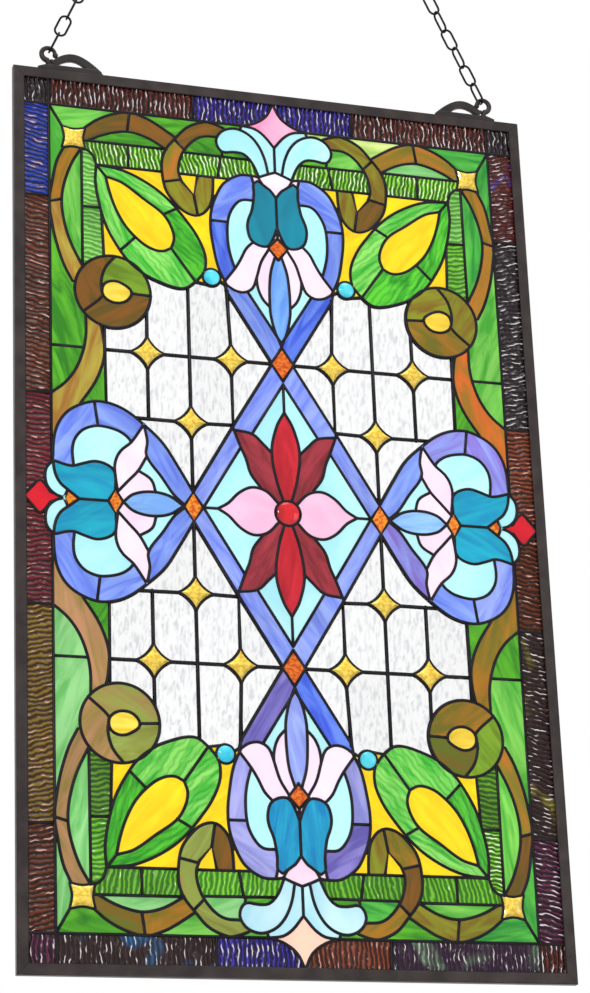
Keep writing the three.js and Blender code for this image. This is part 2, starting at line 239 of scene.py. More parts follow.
BORDER_X = 221  # inner lines of the dark border
BORDER_Z = 391
STRIP_TOP = 357  # the row of green glass
STRIP_BOTTOM = 333
ROSETTE = (162, 205, 36)  # its middle and radius, as for the jewels
TURQUOISE = (66.5, 229, 8.5)
RED_JEWEL = (0, 0, 12)
CROSSING_Z = 147  # where the ribbons cross the upright middle line, and so the clear glass's upper row
CROSSING_X = 89.8  # where they cross the level one
ROW_Z = 82  # lower row of the clear glass
COLUMNS = (49.6, CROSSING_X, 130)
CLEAR_EDGE = 170
DIAMOND = 15.5  # from an amber diamond's middle to its corners
DIAMOND_BEND = 30  # radius of its hollow sides
CURVE_STEP = 3.5  # between the points of a curve
REACH = 4.5  # how far a line's end may be from the line that it meets
TOUCH = 0.01  # distances below this are none
OUTER_X = 243  # ends beyond these run on to the edge of the glass
OUTER_Z = 415


def straight(*points):
    """A line with corners at the points."""
    return [Vector(p) for p in points]


def curved(*points, closed=False):
    """A smooth line through the points, which leaves each along the chord of its neighbours."""
    knots = straight(*points)
    count = len(knots)
    line = []
    for i in range(count if closed else count - 1):
        before = knots[i - 1] if closed or i > 0 else None
        start, end = knots[i], knots[(i + 1) % count]
        after = knots[(i + 2) % count] if closed or i + 2 < count else None
        length = (end - start).length
        out = (end - before).normalized() if before else (end - start).normalized()
        into = (after - start).normalized() if after else (end - start).normalized()
        handles = start + out * length / 3, end - into * length / 3
        steps = max(2, round(length / CURVE_STEP) + 1)
        line += interpolate_bezier(start, *handles, end, steps)[:-1]
    line.append(knots[0].copy() if closed else knots[-1].copy())
    return line


def ring(x, z, radius):
    """A circle, in a number of steps that suits all four quarters."""
    steps = 8 * max(3, round(2 * math.pi * radius / CURVE_STEP / 8))
    turns = [2 * math.pi * i / steps for i in range(steps + 1)]
    return [Vector((x + radius * math.cos(t), z + radius * math.sin(t))) for t in turns]


# Each line by its points: two are joined straight, more by a smooth curve.
BORDER_LINES = (
    ((32, BORDER_Z), (245, BORDER_Z)),
    ((BORDER_X, 34), (BORDER_X, 417)),
    ((80, BORDER_Z), (80, 417)),
    ((BORDER_X, 296), (245, 296)),
    ((BORDER_X, 100), (245, 100)),
    ((0, 418), (7, 404), (19, 395), (32, BORDER_Z)),
    ((32, BORDER_Z), (19, 389), (10, 383), (0, 371)),
    ((32, BORDER_Z), (34, 386)),
)

CORNER_LINES = (
    ((BORDER_X, BORDER_Z), (208.5, 369.5)),
    ((186.5, 369.5), (197.5, 367.5), (208.5, 369.5)),
    ((208.5, 369.5), (206.5, 358.5), (208.5, 347.5)),
    ((208.5, 347.5), (197.5, 349.5), (186.5, 347.5)),
    ((186.5, 347.5), (188.5, 358.5), (186.5, 369.5)),
)

STRIP_LINES = (
    ((24, STRIP_TOP - 1), (90, STRIP_TOP - 1)),
    ((52, STRIP_TOP - 1), (53, 361)),
    ((107.5, STRIP_TOP), (188, STRIP_TOP)),
    ((47, STRIP_BOTTOM), (96, STRIP_BOTTOM)),
    ((112, STRIP_BOTTOM), (176, STRIP_BOTTOM)),
    ((54, STRIP_TOP), (57.5, STRIP_BOTTOM)),
    ((145, STRIP_TOP), (145, STRIP_BOTTOM)),
    ((176, STRIP_BOTTOM), (179, 342), (184, 347), (190, 349)),
    ((190, 349), (190, 227)),
    ((170.5, 285), (170, 242)),
    ((172, 289), (190, 289)),
)

SCROLL_LINES = (
    ((187, 370), (176, 379), (161, 387), (143, 391.5), (126, 387), (113, 380), (99, 371)),
    ((184, STRIP_TOP), (171, 364), (157, 369), (143, 371), (126, 367), (107.5, STRIP_TOP)),
    ((143, 390), (145.5, 371)),
    (
        (50, 386), (60, 389.5), (69, 390.5), (86, 383), (98, 370), (108, 357), (112, 345), (112, 330),
        (109, 315), (102, 304), (92, 294.5), (81, 291), (73, 294), (66, 303), (63, 315),
        (62, STRIP_BOTTOM),
    ),
    ((56, 376), (71, 375), (81, 369), (90.5, 357), (95, 345), (96, 334), (93, 325)),
    straight((93, 325), (81.5, 312), (77.5, STRIP_BOTTOM)),
    ((100, 369), (90, 359)),
    ((94, 327), (111, 323)),
    ((81.5, 312), (78, 291)),
    (
        (207, 348), (214, 332), (218.5, 310), (221.4, 290), (219, 270), (215, 250), (208, 228),
        (200, 212),
    ),
    ((190, 349), (200, 331), (207.5, 308), (209.5, 290), (207, 270), (201, 250), (190.5, 228)),
    ((59, 314), (64, 313)),
    ((209, 294), (220, 291)),
    ((174, 172), (171.5, 157), (171, 141), (175, 125), (182, 110), (194, 92)),
    ((188, 180), (188, 160), (191, 143), (198, 125), (208, 111), (BORDER_X, 100)),
    ((190.5, CROSSING_Z), (BORDER_X, CROSSING_Z)),
)

LEAF_LINES = (
    (
        (176, STRIP_BOTTOM), (151, 330), (126, 319), (106, 304), (86, 280), (77, 265), (72, 250),
        (73, 235), (80, 225),
    ),
    (
        (80, 225), (91, 216), (101, 215), (116, 219), (131, 225.5), (147, 238), (159, 255), (168, 273),
        (174, 295), (177, 315), (176, STRIP_BOTTOM),
    ),
    ((167, 322), (151, 317), (131, 303), (113, 290), (105, 278), (102, 265), (105, 255)),
    ((105, 255), (113, 251), (123, 252), (134, 258), (148, 272), (158, 290), (164, 308), (167, 322)),
    ((96.6, 297.6), (110, 290)),
    ((105, 255), (83, 224)),
    ((139, 263), (155, 247)),
    ((176, STRIP_BOTTOM), (167, 322)),
)

ROSETTE_LINES = (
    ring(*ROSETTE),
    curved(
        (144, 206), (151, 213), (161, 216), (170, 212), (172, 203), (168, 197), (159, 194), (149, 197),
        closed=True,
    ),
    ((159, 241), (169, 228), (173, 213), (172, 203)),
    ((171, 201), (176, 195), (190, 183)),
    ((126, 204), (145, 205)),
)

FLEUR_LINES = (
    ((0, 371), (0, 345)),
    (
        (17, 340), (23, 353), (31, 361), (41, 362), (52, 361), (57.5, 368), (57, 376), (50, 384),
        (38, 387), (25, 382), (16, 372), (10, 358), (7, 343),
    ),
    ((0, 345), (8, 342), (17, 338)),
)

LYRE_LINES = (
    (
        (17, 338), (24, 339), (36.5, 338), (51.5, 328), (60, 313), (65, 297), (66, 280), (64, 262),
        (59.5, 240), (51.5, 222),
    ),
    ((22, 313), (35, 312), (43.5, 303), (48.5, 290), (49.5, 270), (47.5, 255), (43.5, 241)),
    ((49, 288), (66, 288)),
    (
        (13, 331), (18, 334), (22, 331), (22, 320), (24.5, 303), (28.5, 292), (29.5, 283), (26.5, 272),
        (19.5, 267), (10, 267), (4, 276), (0, 287),
    ),
    ((0, 276), (0, 318)),
    ((0, 318), (6, 326), (13, 331), (17, 338)),
    curved((22, 331), (24, 339)),
    straight((0, 276), (9.5, 265), (0, 253)),
)

PETAL_LINES = (
    ((24, 270), (31.5, 262), (37.5, 250), (43.5, 240), (54, 226)),
    ((52, 223), (44, 218), (34.5, 217), (26.5, 222), (22.5, 232), (17, 250), (9.5, 263)),
    ((22.5, 234), (21, 222), (17, 212), (11, 205)),
    ((3, 257), (8, 240), (9.8, 222), (10, 206), (9.5, 196), (6, 180), (0, 165)),
)

RIBBON_LINES = (
    straight((0, 164), (11, CROSSING_Z), (0, 130)),
    ((0, 163), (0, 169)),
    straight((11, CROSSING_Z + 2), (51.5, 215), (53, 222)),
    ((0, 168), (32, 219)),
    straight((11, CROSSING_Z - 2), (49.5, ROW_Z), (CROSSING_X, 14)),
    ((0, 127), (31.5, 76)),
    ((41.5, 62), (80.5, 0)),
    straight((80.5, 0), (CROSSING_X, 14), (99, 0)),
    ((0, 127), (0, 99)),
)

SIDE_LINES = (
    (
        (CROSSING_X, 14), (105, 40), (118, 60), (135, 76), (151, 88), (166, 94), (180.5, 95),
        (195.5, 90), (207, 82), (215, 70), (219, 55), (220, 36),
    ),
    ((99, 2), (108, 10), (119, 26), (133, 46), (132, 60), (135, 76)),
    ((135, 76), (147, 58), (156, 50), (161, 42), (163, 32), (160.5, 9)),
    ((160, 10), (151, 20), (141, 31), (133, 45)),
    (
        (147, 58), (151, 63), (159, 68), (171, 71), (181, 71), (192.5, 66), (200, 56), (202, 45),
        (201, 33),
    ),
    ((181, 95), (178, 72)),
    ((162.5, 12), (163, 28), (169, 34), (180.5, 37), (192.5, 34), (203, 31), (220, 35)),
    ((220, 35), (218, 23), (213.5, 14), (206.5, 8), (196, 0)),
    straight((155.5, 0), (162.5, 12), (169.5, 0)),
    ((169.5, 0), (196, 0)),
    ((206.5, 8), (210, 0)),
    ((220, 35), (226.5, 26), (226, 12), (219, 3.5), (210, 0)),
    ((221, 2), (226, 10), (232, 15.5), (238, 10), (245, 2)),
    ((99, 0), (113, 9), (130, 11.5), (146, 8), (155.5, 0)),
    ((125, 11), (129, 23), (141, 31)),
)

CENTRE_LINES = (
    ring(*RED_JEWEL),
    ((0, 99), (8, 84), (13.5, 60), (10, 32), (4, 12)),
    ((49.5, 78), (31.5, 75), (21.5, 66), (13.5, 58)),
    ((49.5, 78), (43.5, 62), (38.5, 50), (34.5, 36), (25, 23)),
    ((9, 9), (20, 20), (33.5, 23), (46, 17), (57, 6), (67, 0)),
    ((67, 0), (80, 0)),
)


def clear_lines():
    """The rows and columns of the clear glass, its three diamonds and the turquoise jewel."""
    left, middle, right = COLUMNS
    yield (left, 78), (left, CROSSING_Z - DIAMOND)
    yield (left, CROSSING_Z + DIAMOND), (left, 218)
    yield (middle, 14), (middle, ROW_Z - DIAMOND)
    yield (middle, ROW_Z + DIAMOND), (middle, 217)
    yield (right, ROW_Z), (right, CROSSING_Z - DIAMOND)
    yield (right, CROSSING_Z + DIAMOND), (right, 189)
    yield (CLEAR_EDGE, 172), (CLEAR_EDGE, 94)
    yield (11, CROSSING_Z), (left - DIAMOND, CROSSING_Z)
    yield (left + DIAMOND, CROSSING_Z), (right - DIAMOND, CROSSING_Z)
    yield (right + DIAMOND, CROSSING_Z), (CLEAR_EDGE, CROSSING_Z)
    yield (48, ROW_Z), (middle - DIAMOND, ROW_Z)
    yield (middle + DIAMOND, ROW_Z), (143, ROW_Z)
    half = math.asin(DIAMOND / math.sqrt(2) / DIAMOND_BEND)
    distance = DIAMOND / math.sqrt(2) + DIAMOND_BEND * math.cos(half)
    for x, z in ((left, CROSSING_Z), (right, CROSSING_Z), (middle, ROW_Z)):
        for turn in range(4):
            away = math.pi / 4 + turn * math.pi / 2
            centre = Vector((x, z)) + distance * Vector((math.cos(away), math.sin(away)))
            bends = [away + math.pi + half * step / 3 for step in range(-3, 4)]
            yield [centre + DIAMOND_BEND * Vector((math.cos(b), math.sin(b))) for b in bends]
    yield (51.5, 222), (60, 227)
    yield (70, 222), (82, 223)
    yield ring(*TURQUOISE)


def drawn(line):
    """Joins a line's points, straight or smooth, unless that is done already."""
    if isinstance(line, list):
        return line
    return straight(*line) if len(line) == 2 else curved(*line)


def quarter_design():
    """All lines of the quarter, each run on to the lines that it meets."""
    families = (
        BORDER_LINES, CORNER_LINES, STRIP_LINES, SCROLL_LINES, LEAF_LINES, ROSETTE_LINES, FLEUR_LINES,
        LYRE_LINES, PETAL_LINES, RIBBON_LINES, SIDE_LINES, CENTRE_LINES, clear_lines(),
    )
    lines = [drawn(line) for family in families for line in family]
    return [meet(line, [other for other in lines if other is not line]) for line in lines]


def nearest_on(start, end, tip):
    """The point between start and end that is nearest to the tip."""
    along = end - start
    share = (tip - start).dot(along) / max(along.length_squared, 1e-9)
    return start + along * max(0, min(1, share))


def meet(line, others):
    """Runs both ends of a line on to the nearest other line, so that it closes its panes."""
    line = [p.copy() for p in line]
    if (line[0] - line[-1]).length < TOUCH:
        return line
    for end in (0, -1):
        tip = line[end]
        if tip.x > OUTER_X:
            target = Vector((GLASS_X, tip.y))
        elif tip.y > OUTER_Z:
            target = Vector((tip.x, GLASS_Z))
        else:
            spots = [nearest_on(a, b, tip) for other in others for a, b in zip(other, other[1:])]
            target = min(spots, key=lambda spot: (spot - tip).length)
            gap = (target - tip).length
            if gap <= 2 * TOUCH or gap >= REACH or min(tip) <= TOUCH:
                continue
        line.insert(0 if end == 0 else len(line), target)
    return line


def bead_path(line):
    """The line without the doubling back where an end ran past the line that it meets."""
    line = list(line)
    for _ in range(2):
        line.reverse()
        end = line.pop()
        while len(line) > 1 and (end - line[-1]).length < REACH:
            if (end - line[-1]).dot(line[-1] - line[-2]) >= 0:
                break
            line.pop()
        line.append(end)
    return line


def mirrored(lines):
    """The quarter's lines in all four quarters, those on a middle line only once."""
    for line in lines:
        sides = (1, -1) if any(abs(p.x) >= TOUCH for p in line) else (1,)
        ends = (1, -1) if any(abs(p.y) >= TOUCH for p in line) else (1,)
        for side in sides:
            for end in ends:
                yield [Vector((side * p.x, end * p.y)) for p in line]


# ---- the panes ----------------------------------------------------------------------------

QUARTERS = {"top_left": (-1, 1), "top_right": (1, 1), "bottom_left": (-1, -1), "bottom_right": (1, -1)}
ENDS = {"top": 1, "bottom": -1}
SIDES = {"right": 1, "left": -1}

# For each node: its glass, its grain in degrees and points inside its panes. The glass is one name, or
# four: top left, top right, bottom left and bottom right.
CORNER_GLASS = {
    "border_glass": [
        ("border_violet border_violet border_violet border_copper", 90, (55, 405)),
        ("border_maroon border_maroon border_lagoon border_iris", 90, (150, 405)),
        ("border_smoke border_smoke border_plum border_maroon", 90, (233, 405)),
        ("border_blue border_sunset border_brown border_plum", 12, (233, 343)),
        ("border_brown border_smoke border_olive border_hedge", 12, (233, 200)),
        ("border_wine border_copper border_wine border_brown", 5, (233, 60)),
    ],
    "field_glass": [
        ("grass", 10, (38, 358.5)),
        (
            "strip_green strip_green strip_grass strip_grass", 80,
            (35, 345), (75, 345), (127, 345), (162, 345),
        ),
        ("grass spring mint green", 20, (72, 365)),
        ("grass yellow_green spring grass", 10, (95, 385)),
        ("brown amber amber olive", 30, (122, 378)),
        ("brown orange_brown dark_olive olive", -20, (163, 377)),
        ("grass mint mint spring", 0, (140, 364)),
        ("spring green grass green", -10, (195, 381)),
        ("spring green mint green", 80, (214, 360), (219.5, 330)),
        ("brown olive pale_moss amber", -30, (80, 379)),
        ("orange_brown olive moss_rose brown", -80, (102, 345)),
        ("olive brown pale_moss amber", 60, (93, 303)),
        ("olive olive brown olive", 80, (71, 312)),
        ("yellow", 60, (84, 325), (59.5, 329)),
        ("yellow", 30, (118, 327), (70, 270), (163, 253), (76.5, 225.3)),
        ("strip_pale strip_pale strip_grass strip_green", 8, (182, 320)),
        ("strip_pale strip_grass strip_dark strip_dark", 8, (179, 265)),
        ("spring green mint spring", 80, (200, 290)),
        ("amber amber rose_brown brown", -70, (213, 318)),
        ("gold_olive orange_brown rose_brown orange_brown", 70, (213, 262)),
        ("grass spring mint spring", 70, (216, 225), (205, 165)),
        ("gold_olive burnt_orange rose_brown amber", -75, (180, 140)),
        ("grass spring mint grass", 70, (212, 130)),
        ("grass", 60, (175, 105)),
    ],
    "leaf_glass": [
        ("leaf_green leaf_green leaf_grass leaf_green", 30, (130, 312)),
        ("leaf_grass leaf_green leaf_green leaf_green", 40, (86, 262)),
        ("leaf_green leaf_grass leaf_green leaf_green", 50, (120, 235)),
        ("leaf_green leaf_grass leaf_grass leaf_grass", 70, (168, 290)),
    ],
    "leaf_heart": [("heart_yellow", 50, (130, 280))],
    "rosette_glass": [
        ("brown olive rose_brown moss", 60, (186, 215)),
        ("moss olive pale_moss dark_olive", 20, (145, 225)),
        ("brown amber moss_rose amber", -30, (150, 182)),
        ("pale_yellow", 0, (158, 205)),
    ],
    "clear_glass": [
        (
            "clear", 90, (30, 165), (70, 185), (110, 185), (150, 160), (38, 115), (70, 115), (110, 115),
            (150, 115), (70, 60), (110, 60), (45, 190), (165, 165),
        ),
        ("jewel_amber", 90, (COLUMNS[0], CROSSING_Z), (COLUMNS[2], CROSSING_Z), (COLUMNS[1], ROW_Z)),
    ],
    "corner_jewel": [("jewel_amber", 90, (197.5, 358.5))],
    "turquoise_jewel": [("jewel_turquoise", 90, TURQUOISE[:2])],
}

END_GLASS = {
    "star_tip": [("hot_pink hot_pink peach peach", 90, (0, 395))],
    "fleur_glass": [("cyan cyan pale_cyan pale_cyan", 60, (6, 370), (38, 375))],
    "teal_heart": [
        ("teal teal bright_teal bright_teal", 80, (13, 300)),
        ("pale_pink", 0, (0, 335), (19, 337)),
        ("cyan", 90, (38, 290)),
        ("rust", 0, (0, 265)),
    ],
    "petal_glass": [
        ("pale_pink", 60, (30, 240), (15, 230)),
        ("sky sky lilac_sky lilac_sky", 80, (0, 210)),
        ("cyan", 60, (22, 212)),
    ],
}

SIDE_GLASS = {
    "side_petal_glass": [
        ("pale_pink", 60, (148, 45), (146, 16), (161.7, 14)),
        ("cyan", 20, (178, 55), (120, 20)),
        ("pale_sky", 0, (128, 0)),
        ("orange", 0, (162, 0)),
    ],
    "side_teal": [("side_teal", 20, (190, 20)), ("orange", 0, (203, 0))],
    "side_sliver": [("cyan", 60, (221.5, 18), (215, 4))],
    "side_tip": [("tip_red", 0, (233, 0))],
}

WHOLE_GLASS = {
    "ribbon_glass": [
        ("periwinkle periwinkle lavender plum", -30, (45, 325)),
        ("cobalt periwinkle lavender lavender", 80, (56, 262)),
        ("periwinkle cobalt plum cobalt", 58, (28, 185)),
        ("centre_blue", -58, (25, 105)),
        ("centre_blue", -58, (66, 40)),
        ("periwinkle wisteria periwinkle periwinkle", 30, (160, 83)),
        ("periwinkle wisteria periwinkle centre_blue", -60, (212, 65)),
        ("periwinkle periwinkle periwinkle wisteria", 58, (115, 42)),
        ("rust", 0, (0, 147)),
        ("orange", 0, (CROSSING_X, 0)),
    ],
    "centre_glass": [
        ("ruby", 80, (0, 60)),
        ("dark_ruby", 60, (28, 52)),
        ("pink", 10, (38, 5)),
        ("cyan", -58, (14, 92), (50, 35)),
    ],
    "red_jewel": [("jewel_red", 0, RED_JEWEL[:2])],
}


def placed(node, entries, quarters):
    """A node's panes in each of its quarters, as (node, glass, grain, point)."""
    for glass, grain, *places in entries:
        for x, z in places:
            for side, end in quarters:
                names = glass.split()
                name = names[(side > 0) + 2 * (end < 0)] if len(names) > 1 else glass
                yield node, name, grain * side * end, (side * x, end * z)


def pane_plan():
    """Every pane of the window as (node, glass, grain, point inside it)."""
    plan = []
    for family, entries in CORNER_GLASS.items():
        for corner, quarter in QUARTERS.items():
            plan += placed(f"{family}_{corner}", entries, [quarter])
    for family, entries in END_GLASS.items():
        for name, end in ENDS.items():
            plan += placed(f"{family}_{name}", entries, [(1, end), (-1, end)])
    for family, entries in SIDE_GLASS.items():
        for name, side in SIDES.items():
            plan += placed(f"{family}_{name}", entries, [(side, 1), (side, -1)])
    for node, entries in WHOLE_GLASS.items():
        plan += placed(node, entries, QUARTERS.values())
    return plan


# ---- sheet of panes -----------------------------------------------------------------------

WELD = 0.05  # points of the design closer than this are one


def cut_sheet(lines):
    """The whole glass as one flat mesh, cut along the lines, with its pane's number on each face."""
    points, cuts = [], []
    corners = [(-GLASS_X, -GLASS_Z), (GLASS_X, -GLASS_Z), (GLASS_X, GLASS_Z), (-GLASS_X, GLASS_Z)]
    for line in [straight(*corners, corners[0]), *lines]:
        first = len(points)
        points += line
        cuts += [(i, i + 1) for i in range(first, len(points) - 1)]
    spots, edges, triangles, _, origins, _ = delaunay_2d_cdt(points, cuts, [], 0, WELD)
    leads = {frozenset(edges[i]) for i, origin in enumerate(origins) if origin}
    sheet = bmesh.new()
    pane_number = sheet.faces.layers.int.new("pane")
    verts = [sheet.verts.new((p.x * MM, 0, PANEL_Z + p.y * MM)) for p in spots]
    for triangle in triangles:
        sheet.faces.new([verts[i] for i in triangle])
    sheet.normal_update()
    sheet.verts.index_update()
    count = 0
    for face in sheet.faces:
        if face[pane_number]:
            continue
        count += 1
        face[pane_number] = count
        front = [face]
        while front:
            here = front.pop()
            for edge in here.edges:
                if frozenset(v.index for v in edge.verts) in leads:
                    continue
                for near in edge.link_faces:
                    if not near[pane_number]:
                        near[pane_number] = count
                        front.append(near)
    return sheet


# ---- materials ----------------------------------------------------------------------------


class Shader:
    """A new node material with short ways to add and join nodes."""

    def __init__(self, name):
        self.material = bpy.data.materials.new(name)
        self.material.use_nodes = True
        self.tree = self.material.node_tree
        self.surface = self.tree.nodes["Principled BSDF"]

    def fill(self, socket, value):
        """Gives an input a value, a colour or another node's output."""
        if isinstance(value, bpy.types.NodeSocket):
            self.tree.links.new(value, socket)
        else:
            socket.default_value = (*value, 1) if socket.type == "RGBA" else value

    def node(self, kind, inputs=None, **settings):
        made = self.tree.nodes.new("ShaderNode" + kind)
        for key, value in settings.items():
            setattr(made, key, value)
        for key, value in (inputs or {}).items():
            self.fill(made.inputs[key], value)
        return made

    def ramp(self, factor, *stops):
        """A fade between grey levels, each given with its place."""
        made = self.node("ValToRGB", {"Fac": factor})
        for element, (position, level) in zip(made.color_ramp.elements, stops):
            element.position = position
            element.color = (level, level, level, 1)
        return made.outputs["Color"]

    def mix(self, factor, first, second, blend="MIX"):
        """Mixes two colours; a Mix node's inputs 6 and 7 and its output 2 are its colour ones."""
        made = self.node("Mix", {"Factor": factor}, data_type="RGBA", blend_type=blend)
        self.fill(made.inputs[6], first)
        self.fill(made.inputs[7], second)
        return made.outputs[2]

    def noise(self, vector, scale, detail=2.0, distortion=0.0):
        inputs = {"Vector": vector, "Scale": scale, "Detail": detail, "Distortion": distortion}
        return self.node("TexNoise", inputs).outputs["Fac"]

    def waves(self, vector, pitch, wander):
        """Wavy stripes along the grain, their pitch in millimetres."""
        scale = math.pi / 10 / (pitch * MM)
        inputs = {
            "Vector": vector, "Scale": scale, "Distortion": wander,
            "Detail": 2.0, "Detail Scale": 0.9, "Detail Roughness": 0.55,
        }
        return self.node("TexWave", inputs).outputs["Fac"]

    def stretched(self, source, scale):
        return self.node("Mapping", {"Vector": source, "Scale": scale}).outputs["Vector"]

    def bump(self, height, strength, distance):
        made = self.node("Bump", {"Height": height, "Strength": strength, "Distance": distance * MM})
        self.tree.links.new(made.outputs["Normal"], self.surface.inputs["Normal"])

    def finish(self, colour, **values):
        """Sets the surface's colour and plain values, named as its inputs, and gives the material."""
        self.fill(self.surface.inputs["Base Color"], colour)
        for key, value in values.items():
            self.surface.inputs[key.replace("_", " ").title().replace("Ior", "IOR")].default_value = value
        return self.material


class Glass(Shader):
    """Glass in its pane's own two colours, with its marks along the pane's own grain."""

    def __init__(self, name):
        super().__init__(name)
        self.grain = self.node("UVMap", uv_map="Grain").outputs["UV"]
        self.tone = self.node("Attribute", attribute_name="Tone").outputs["Color"]
        self.streak = self.node("Attribute", attribute_name="Streak").outputs["Color"]

    def marks(self, across, along, detail=2.0, distortion=0.0):
        """Soft marks, so many to a metre across the grain and along it."""
        return self.noise(self.stretched(self.grain, (across, along, 1)), 1.0, detail, distortion)

    def streaked(self, marks, low, high):
        """The main colour, turning to the streaks' colour where the marks are strong."""
        return self.mix(self.ramp(marks, (low, 0.0), (high, 1.0)), self.tone, self.streak)

    def shaded(self, colour, marks, dark, light):
        """The colour times the marks' own grey, which fades from dark to light."""
        return self.mix(1.0, colour, self.ramp(marks, dark, light), "MULTIPLY")


def streaky_glass():
    """Opal glass with long streaks of a second colour and soft clouds."""
    glass = Glass("Streaky glass")
    colour = glass.streaked(glass.marks(80, 14, 4.0, 1.4), 0.36, 0.64)
    colour = glass.shaded(colour, glass.marks(24, 10, 2.0, 0.6), (0.32, 0.84), (0.66, 1.06))
    glass.bump(glass.marks(160, 60), 0.12, 0.8)
    return glass.finish(colour, roughness=0.16, transmission_weight=0.15, specular_ior_level=0.3)


def catspaw_glass():
    """Streaky glass with fine curling ripples in its face."""
    glass = Glass("Catspaw leaf glass")
    curls = glass.waves(glass.grain, 5.5, 7.0)
    colour = glass.streaked(glass.marks(90, 16, 3.0, 1.2), 0.38, 0.62)
    colour = glass.shaded(colour, curls, (0.08, 0.72), (0.5, 1.0))
    glass.bump(curls, 0.3, 1.2)
    return glass.finish(colour, roughness=0.14, transmission_weight=0.15, specular_ior_level=0.3)


def even_glass():
    """Opal glass of nearly one colour."""
    glass = Glass("Opal glass")
    colour = glass.streaked(glass.marks(26, 12, 2.0, 0.8), 0.4, 0.7)
    glass.bump(glass.marks(120, 60), 0.1, 0.8)
    return glass.finish(colour, roughness=0.18, transmission_weight=0.12, specular_ior_level=0.3)


def ripple_glass(name, pitch, glint, painted_glint_from, cloud_from=None):
    """Glass rolled with wavy ripples along its grain, with painted shade in their valleys and thin
    painted highlights along their crests.
    """
    glass = Glass(name)
    ripples = glass.waves(glass.grain, pitch, 6.0)
    clouds = glass.marks(22, 16, 2.0, 0.8)
    if cloud_from is None:
        # painted shade: the ripples' valleys take the darker second colour, the crests the main one
        colour = glass.mix(glass.ramp(ripples, (0.2, 0.0), (0.95, 1.0)), glass.streak, glass.tone)
    else:
        patches = glass.ramp(clouds, (cloud_from, 0.0), (cloud_from + 0.12, 1.0))
        colour = glass.mix(patches, glass.streak, glass.tone)
        # painted shade: darker in the ripples' valleys
        colour = glass.shaded(colour, ripples, (0.15, 0.35), (0.9, 1.1))
    colour = glass.shaded(colour, clouds, (0.34, 0.75), (0.66, 1.2))
    # painted highlights: thin glints of a fixed light colour along the ripples' crests, broken up by fine
    # marks
    crests = glass.ramp(ripples, (0.84, 0.0), (0.95, 1.0))
    painted_highlight = glass.shaded(crests, glass.marks(230, 90, 1.0), (painted_glint_from, 0.0), (painted_glint_from + 0.1, 1.0))
    glass.bump(ripples, 0.8, 1.6)
    colour = glass.mix(painted_highlight, colour, glint)
    return glass.finish(colour, roughness=0.2, transmission_weight=0.05, specular_ior_level=0.2)


def marked_glass(name, marks, low, high, relief=None, **values):
    """Glass with one kind of mark, which stands out of its face where a relief is given."""
    glass = Glass(name)
    pattern = glass.marks(*marks)
    if relief:
        glass.bump(pattern, *relief)
    return glass.finish(glass.streaked(pattern, low, high), **values)


def metal(name, colour, metallic, roughness, pits, bump):
    """Dark patinated metal, cloudy and slightly uneven, with so many pits to a metre."""
    shader = Shader(name)
    place = shader.node("TexCoord").outputs["Object"]
    clouds = shader.noise(place, 45, 4.0)
    dark, light = ([min(1, c * share) for c in colour] for share in (0.72, 1.35))
    shade = shader.mix(shader.ramp(clouds, (0.35, 0.0), (0.68, 1.0)), dark, light)
    shader.bump(shader.noise(place, pits, 3.0), bump, 0.6)
    return shader.finish(shade, metallic=metallic, roughness=roughness)


def glass_materials():
    """Every kind of glass as a material; a pane's material index is its kind's place here."""
    # the light colour of the painted highlights on ripple glass
    painted_glint_grey = srgb(210, 200, 200)
    return {
        "streaky": streaky_glass(),
        "catspaw": catspaw_glass(),
        "even": even_glass(),
        "hammered": marked_glass(
            "Hammered glass", (330, 240), 0.42, 0.6, (0.6, 1.2),
            roughness=0.14, transmission_weight=0.2, specular_ior_level=0.3,
        ),
        # each ripple glass by its pitch, the colour of its painted highlights and the mark level where
        # they start
        "ripple": ripple_glass("Dark ripple glass", 4.6, painted_glint_grey, 0.5),
        "warm_ripple": ripple_glass("Warm ripple glass", 4.6, srgb(204, 158, 142), 0.56),
        "cloudy_ripple": ripple_glass("Clouded ripple glass", 4.4, painted_glint_grey, 0.54, 0.54),
        "glint": ripple_glass("Green ripple glass", 4.0, srgb(240, 248, 214), 0.46),
        "rolled": ripple_glass("Rolled green glass", 4.6, srgb(226, 244, 190), 0.66),
        "cast": marked_glass(
            "Cast amber glass", (300, 300, 1.0), 0.44, 0.58, (0.2, 0.8),
            roughness=0.08, transmission_weight=0.25, ior=1.52,
        ),
        "polished": marked_glass(
            "Polished jewel glass", (60, 60, 1.0), 0.4, 0.6,
            roughness=0.04, transmission_weight=0.2, specular_ior_level=0.45,
        ),
        "clear": marked_glass(
            "Clear water glass", (400, 95, 2.0, 0.8), 0.5, 0.64, (0.3, 0.8),
            roughness=0.04, transmission_weight=1.0, ior=1.2,
        ),
    }


# ---- pieces -------------------------------------------------------------------------------

FLAT = 0.9999  # a normal this much along an axis belongs to a flat face
JOINT_SWELL = (0.85, 1.1)  # range of the blobs' widths, as shares
JOINT_DEPTH = 0.52  # half of a blob's depth, as a share of the bead's
CROWN_TABLE = 0.66  # width of a cast jewel's table, as a share of the jewel
PANE_LIGHT = (0.94, 1.06)  # range of brightness from pane to pane
FACET_PAINTED_SHADE = 0.6  # how much a facet's tilt changes its painted light and shade
FRONT = -10  # in front of the whole panel


def mesh_of(bm, name):
    mesh = bpy.data.meshes.new(name)
    bm.to_mesh(mesh)
    bm.free()
    return mesh


def add_piece(name, bm, node, materials, smooth=True):
    """Puts a finished bmesh in the scene as the piece that stands for a CAD node."""
    mesh = mesh_of(bm, name)
    piece = bpy.data.objects.new(name, mesh)
    bpy.context.collection.objects.link(piece)
    if smooth:
        # faces square to an axis stay flat
        for face in mesh.polygons:
            face.use_smooth = max(abs(c) for c in face.normal) < FLAT
    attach(piece, "root")
    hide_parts(node)
    for material in materials:
        mesh.materials.append(material)


